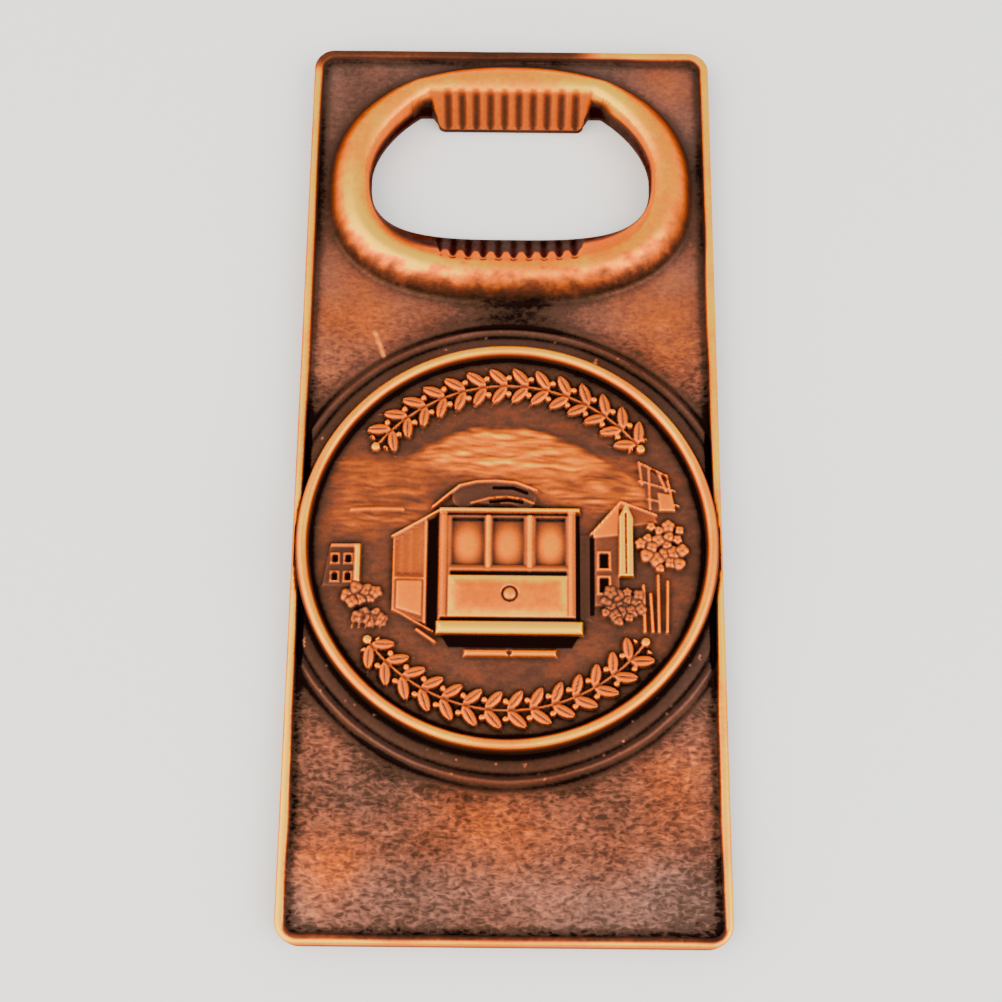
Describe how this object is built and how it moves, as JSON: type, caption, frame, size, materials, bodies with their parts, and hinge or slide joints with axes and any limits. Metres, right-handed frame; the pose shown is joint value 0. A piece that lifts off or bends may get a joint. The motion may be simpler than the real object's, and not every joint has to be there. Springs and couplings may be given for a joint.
{
  "type": "souvenir bottle opener",
  "caption": "Flat cast bottle opener with a raised border, a collared mouth with ribbed lips at one end, and a round relief medallion glued on a boss.",
  "frame": {"origin": "centre of the flat back face", "axes": "+Z out of the front face, +Y towards the mouth end, +X to the right as seen from the front"},
  "size_m": [0.05, 0.111, 0.0061],
  "materials": {
    "body_copper": "antique copper plating over zinc alloy, dark in the recesses and buffed on the high spots",
    "medallion_copper": "antique copper plating over zinc alloy, dark in the recesses and buffed on the ring and the relief",
    "glue": "set epoxy"
  },
  "bodies": {
    "root": {"opener_body": "body_copper", "adhesive_layer": "glue", "medallion": "medallion_copper"}
  },
  "joints": []
}
